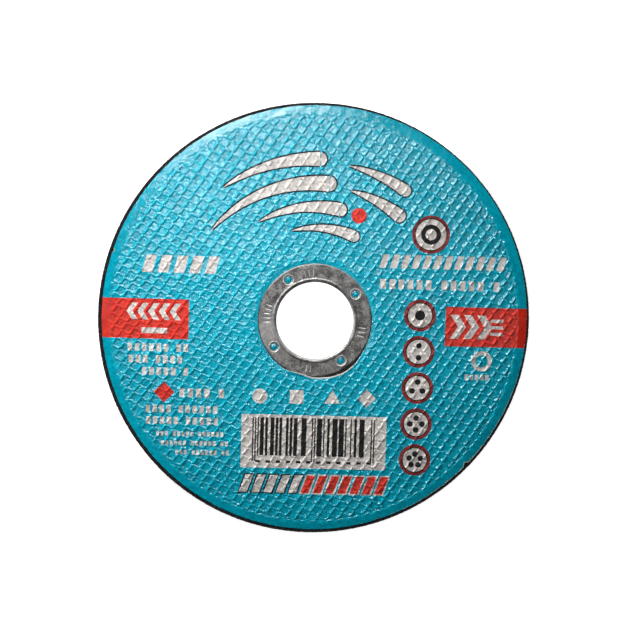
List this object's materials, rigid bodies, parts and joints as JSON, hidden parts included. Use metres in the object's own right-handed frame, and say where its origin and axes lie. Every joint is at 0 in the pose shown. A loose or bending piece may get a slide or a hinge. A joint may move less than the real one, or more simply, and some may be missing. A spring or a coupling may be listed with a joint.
{
  "type": "cut-off wheel",
  "caption": "Thin flat abrasive wheel with a waffled paper label and a stamped steel centre ring, clamped on an angle grinder's spindle to cut metal.",
  "frame": {"origin": "on the bore's axis at the wheel's back face", "axes": "+Z along the bore's axis, out of the labelled face; +X to the right and +Y to the top of the label as the picture shows it"},
  "size_m": [0.125, 0.125, 0.002],
  "materials": {
    "abrasive": "coarse dark grain in resin",
    "label": "satin print on embossed paper",
    "ring": "dull scuffed sheet steel"
  },
  "bodies": {
    "root": {"abrasive_disc": "abrasive", "paper_label": "label", "centre_ring": "ring"}
  },
  "joints": []
}
